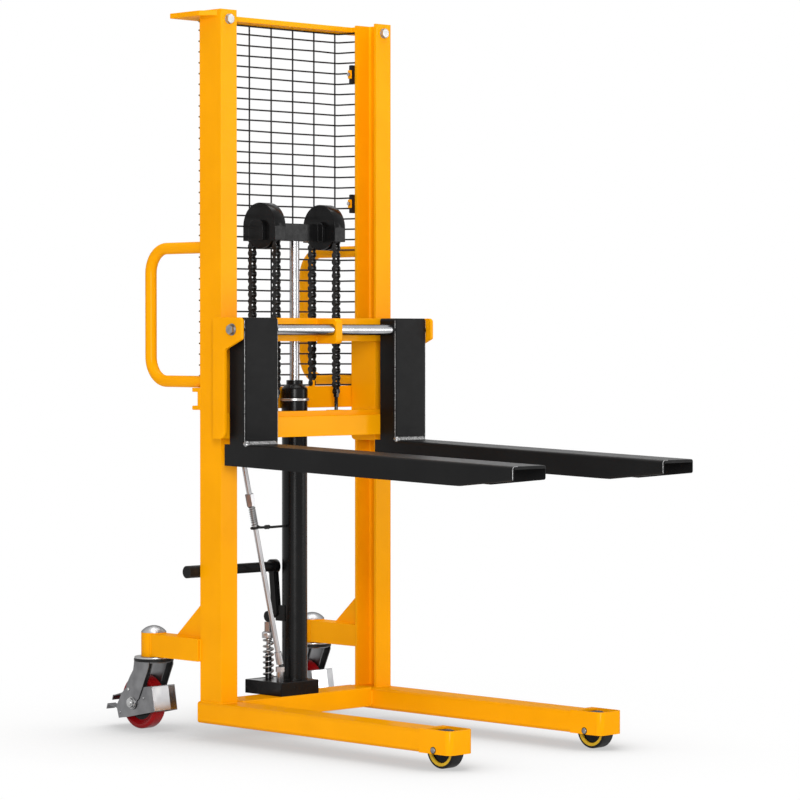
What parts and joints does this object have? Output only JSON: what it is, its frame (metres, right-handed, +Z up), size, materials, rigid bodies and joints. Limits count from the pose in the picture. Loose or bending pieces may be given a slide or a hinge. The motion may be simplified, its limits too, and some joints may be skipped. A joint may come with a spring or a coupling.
{
  "type": "manual pallet stacker",
  "caption": "Manual straddle stacker: mast with foot-pumped lift cylinder, chain-hung fork carriage, sliding forks, guard mesh, straddle legs and braked swivel casters",
  "frame": {"origin": "on the floor under the middle of the machine's outline, between the wheels", "axes": "+Z up, forks point to -Y, +X to the right as seen from the fork tips"},
  "size_m": [0.75, 1.5605, 1.98],
  "materials": {
    "yellow_paint": "satin",
    "black_paint": "satin",
    "black_chain": "satin",
    "black_wire": "satin",
    "chrome": "polished",
    "zinc": "satin",
    "steel": "satin",
    "red_tread": "satin",
    "black_tread": "satin",
    "black_rubber": "matte"
  },
  "bodies": {
    "frame": {"mast_left": "yellow_paint", "mast_right": "yellow_paint", "leg_left": "yellow_paint", "leg_right": "yellow_paint", "top_plate": "yellow_paint", "rear_cross_beam": "yellow_paint", "base_cross_beam": "yellow_paint", "caster_arms": "yellow_paint", "caster_caps": "chrome", "caster_plates": "zinc", "front_axles": "zinc", "handles": "yellow_paint", "guard_mesh": "black_wire", "mesh_clamps": "black_paint", "frame_bolts": "zinc", "pump_block": "black_paint", "lift_cylinder": "black_paint", "cylinder_gland": "black_paint", "pump_lug": "black_paint", "release_valve": "zinc", "release_bracket": "black_paint", "rod_guide": "black_paint", "rod_spring": "steel", "pump_spring": "steel", "rear_chains": "black_chain"},
    "lift_head": {"piston_rod": "chrome", "head_crossbar": "black_paint", "pulley_covers": "black_paint", "chain_wraps": "black_chain"},
    "carriage": {"carriage_sides": "yellow_paint", "carriage_bars": "yellow_paint", "roller_plates": "yellow_paint", "front_beam": "yellow_paint", "fork_shaft": "chrome", "shaft_bolts": "zinc", "shaft_lug": "yellow_paint", "chain_anchor_bolts": "black_chain", "front_chains": "black_chain"},
    "pump_pedal": {"pump_pedal": "black_paint", "pedal_grip": "black_rubber"},
    "pump_plunger": {"pump_plunger": "steel"},
    "release_rod": {"release_rod": "steel"},
    "release_lever": {"release_lever": "black_paint"},
    "pulley_left": {"pulley_left": "steel"},
    "fork_left": {"fork_left": "black_paint"},
    "roller_lower_left": {"roller_lower_left": "steel"},
    "roller_upper_left": {"roller_upper_left": "steel"},
    "front_wheel_left": {"front_wheel_left": "black_tread"},
    "caster_fork_left": {"caster_fork_left": "zinc"},
    "caster_wheel_left": {"caster_wheel_left": "red_tread"},
    "caster_brake_left": {"caster_brake_left": "zinc"},
    "pulley_right": {"pulley_right": "steel"},
    "fork_right": {"fork_right": "black_paint"},
    "roller_lower_right": {"roller_lower_right": "steel"},
    "roller_upper_right": {"roller_upper_right": "steel"},
    "front_wheel_right": {"front_wheel_right": "black_tread"},
    "caster_fork_right": {"caster_fork_right": "zinc"},
    "caster_wheel_right": {"caster_wheel_right": "red_tread"},
    "caster_brake_right": {"caster_brake_right": "zinc"}
  },
  "joints": [
    {"name": "head_lift", "type": "slide", "parent": "frame", "child": "lift_head", "axis": [0, 0, 1], "range_m": [-0.299, 0.4], "deforming": ["rear_chains"]},
    {"name": "carriage_lift", "type": "slide", "parent": "lift_head", "child": "carriage", "axis": [0, 0, 1], "range_m": [-0.299, 0.4], "deforming": ["front_chains"]},
    {"name": "pulley_left_turn", "type": "hinge", "parent": "lift_head", "child": "pulley_left", "pos_m": [-0.113, 0.377, 1.398], "axis": [1, 0, 0], "continuous": true},
    {"name": "roller_lower_left_turn", "type": "hinge", "parent": "carriage", "child": "roller_lower_left", "pos_m": [-0.284, 0.365, 0.846], "axis": [1, 0, 0], "continuous": true},
    {"name": "roller_upper_left_turn", "type": "hinge", "parent": "carriage", "child": "roller_upper_left", "pos_m": [-0.284, 0.365, 1.0965], "axis": [1, 0, 0], "continuous": true},
    {"name": "fork_left_slide", "type": "slide", "parent": "carriage", "child": "fork_left", "axis": [-1, 0, 0], "range_m": [-0.2, 0.015]},
    {"name": "front_wheel_left_roll", "type": "hinge", "parent": "frame", "child": "front_wheel_left", "pos_m": [-0.284, -0.496, 0.049], "axis": [1, 0, 0], "continuous": true},
    {"name": "caster_left_swivel", "type": "hinge", "parent": "frame", "child": "caster_fork_left", "pos_m": [-0.301, 0.629, 0.2], "axis": [0, 0, 1], "continuous": true},
    {"name": "caster_left_roll", "type": "hinge", "parent": "caster_fork_left", "child": "caster_wheel_left", "pos_m": [-0.301, 0.672, 0.075], "axis": [1, 0, 0], "continuous": true},
    {"name": "caster_left_brake", "type": "hinge", "parent": "caster_fork_left", "child": "caster_brake_left", "pos_m": [-0.301, 0.672, 0.075], "axis": [-1, 0, 0], "range_deg": [0, 8]},
    {"name": "pulley_right_turn", "type": "hinge", "parent": "lift_head", "child": "pulley_right", "pos_m": [0.113, 0.377, 1.398], "axis": [1, 0, 0], "continuous": true},
    {"name": "roller_lower_right_turn", "type": "hinge", "parent": "carriage", "child": "roller_lower_right", "pos_m": [0.284, 0.365, 0.846], "axis": [1, 0, 0], "continuous": true},
    {"name": "roller_upper_right_turn", "type": "hinge", "parent": "carriage", "child": "roller_upper_right", "pos_m": [0.284, 0.365, 1.0965], "axis": [1, 0, 0], "continuous": true},
    {"name": "fork_right_slide", "type": "slide", "parent": "carriage", "child": "fork_right", "axis": [1, 0, 0], "range_m": [-0.195, 0.001]},
    {"name": "front_wheel_right_roll", "type": "hinge", "parent": "frame", "child": "front_wheel_right", "pos_m": [0.284, -0.496, 0.049], "axis": [1, 0, 0], "continuous": true},
    {"name": "caster_right_swivel", "type": "hinge", "parent": "frame", "child": "caster_fork_right", "pos_m": [0.301, 0.629, 0.2], "axis": [0, 0, 1], "continuous": true},
    {"name": "caster_right_roll", "type": "hinge", "parent": "caster_fork_right", "child": "caster_wheel_right", "pos_m": [0.301, 0.672, 0.075], "axis": [1, 0, 0], "continuous": true},
    {"name": "caster_right_brake", "type": "hinge", "parent": "caster_fork_right", "child": "caster_brake_right", "pos_m": [0.301, 0.672, 0.075], "axis": [-1, 0, 0], "range_deg": [0, 8]},
    {"name": "pump_pedal_press", "type": "hinge", "parent": "frame", "child": "pump_pedal", "pos_m": [-0.034, 0.415, 0.323], "axis": [-1, 0, 0], "range_deg": [0, 25], "stiffness_Nm_per_rad": 6, "springref_deg": -20.05},
    {"name": "pump_stroke", "type": "slide", "parent": "frame", "child": "pump_plunger", "axis": [0, 0, -1], "range_m": [0, 0.0149], "deforming": ["pump_spring"]},
    {"name": "release_lever_pull", "type": "hinge", "parent": "frame", "child": "release_lever", "pos_m": [-0.1995, 0.427, 0.866], "axis": [-1, 0, 0], "range_deg": [0, 12], "stiffness_Nm_per_rad": 3, "springref_deg": -17.19},
    {"name": "release_rod_lift", "type": "slide", "parent": "frame", "child": "release_rod", "axis": [-0.1973, 0.0418, 0.9794], "range_m": [0, 0.0083], "deforming": ["rod_spring"]}
  ],
  "couplings": [
    {"joint": "carriage_lift", "follows": "head_lift", "ratio": 1},
    {"joint": "pulley_left_turn", "follows": "head_lift", "rad_per_m": -20.202},
    {"joint": "roller_lower_left_turn", "follows": "head_lift", "rad_per_m": -58.651},
    {"joint": "roller_upper_left_turn", "follows": "head_lift", "rad_per_m": 58.651},
    {"joint": "pulley_right_turn", "follows": "head_lift", "rad_per_m": -20.202},
    {"joint": "roller_lower_right_turn", "follows": "head_lift", "rad_per_m": -58.651},
    {"joint": "roller_upper_right_turn", "follows": "head_lift", "rad_per_m": 58.651},
    {"joint": "pump_stroke", "follows": "pump_pedal_press", "m_per_rad": 0.034},
    {"joint": "release_rod_lift", "follows": "release_lever_pull", "m_per_rad": 0.0388}
  ]
}
